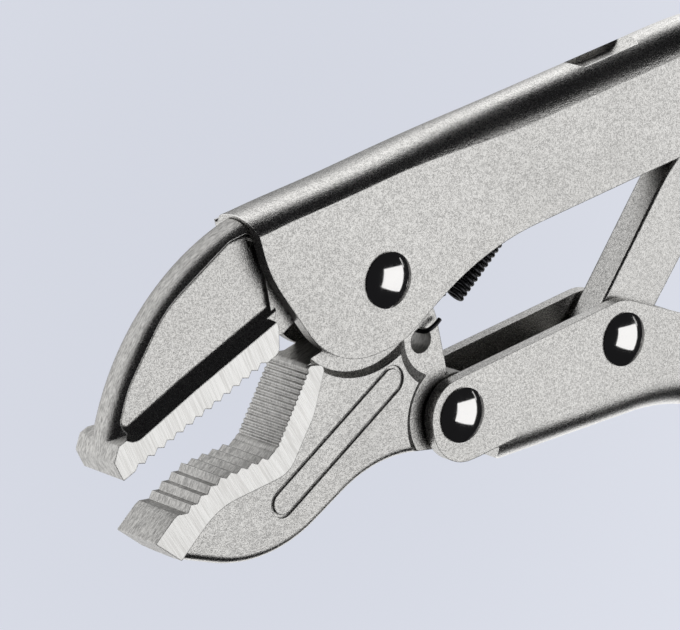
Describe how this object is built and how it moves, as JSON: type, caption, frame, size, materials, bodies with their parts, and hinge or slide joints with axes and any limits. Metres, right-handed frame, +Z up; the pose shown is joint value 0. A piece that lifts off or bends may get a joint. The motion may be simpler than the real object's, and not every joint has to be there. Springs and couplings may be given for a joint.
{
  "type": "locking pliers",
  "caption": "Locking pliers with pressed sheet handles, forged toothed jaws, toggle link, return spring, release lever and knurled adjusting screw.",
  "frame": {"origin": "middle of the underside of the whole tool's box, with the tool lying on its side", "axes": "+X along the upper handle from the jaws to the adjusting knob, +Y from the lower handle to the ridge of the upper handle, +Z up across the tool's thickness"},
  "size_m": [0.18, 0.082, 0.0141],
  "materials": {
    "satin_plated_sheet": "satin nickel plating over blasted pressed sheet",
    "forged_plated_steel": "satin nickel plating over a blasted forging, bands ground bright",
    "satin_plated_bar": "satin nickel plating",
    "polished_rivet_steel": "smooth glossy plating",
    "bright_screw_steel": "bright plating",
    "black_spring_wire": "black phosphated spring wire"
  },
  "bodies": {
    "upper_handle": {"upper_handle": "satin_plated_sheet", "fixed_jaw": "forged_plated_steel", "jaw_rivet": "polished_rivet_steel", "tension_spring": "black_spring_wire"},
    "lower_jaw": {"lower_jaw": "forged_plated_steel"},
    "lower_handle": {"lower_handle": "satin_plated_sheet", "handle_rivet": "polished_rivet_steel", "link_rivet": "polished_rivet_steel", "release_pin": "polished_rivet_steel"},
    "toggle_link": {"toggle_link": "satin_plated_bar"},
    "release_lever": {"release_lever": "satin_plated_bar"},
    "adjusting_screw": {"adjusting_screw": "bright_screw_steel"},
    "knurled_knob": {"knurled_knob": "bright_screw_steel"}
  },
  "joints": [
    {"name": "jaw_pivot", "type": "hinge", "parent": "upper_handle", "child": "lower_jaw", "pos_m": [-0.0365, 0.02272, 0.00705], "axis": [0, 0, -1], "range_deg": [0, 12.19], "deforming": ["tension_spring"]},
    {"name": "handle_pivot", "type": "hinge", "parent": "lower_jaw", "child": "lower_handle", "pos_m": [-0.0267, -0.00338, 0.00705], "axis": [0, 0, 1], "range_deg": [0, 38.69]},
    {"name": "link_pivot", "type": "hinge", "parent": "lower_handle", "child": "toggle_link", "pos_m": [0.0078, -0.00408, 0.00705], "axis": [0, 0, -1], "range_deg": [0, 45.31]},
    {"name": "release_pivot", "type": "hinge", "parent": "lower_handle", "child": "release_lever", "pos_m": [0.02879, -0.01573, 0.00705], "axis": [0, 0, -1], "range_deg": [0, 5]},
    {"name": "screw_slide", "type": "slide", "parent": "upper_handle", "child": "adjusting_screw", "axis": [1, 0, 0], "range_m": [0, 0.01]},
    {"name": "knob_spin", "type": "hinge", "parent": "adjusting_screw", "child": "knurled_knob", "pos_m": [0.0825, 0.03022, 0.00705], "axis": [1, 0, 0], "range_deg": [0, 3600]}
  ],
  "couplings": [
    {"joint": "jaw_pivot", "follows": "handle_pivot", "ratio": 0.3151},
    {"joint": "link_pivot", "follows": "handle_pivot", "ratio": 1.171},
    {"joint": "knob_spin", "follows": "screw_slide", "rad_per_m": 6283.2}
  ]
}
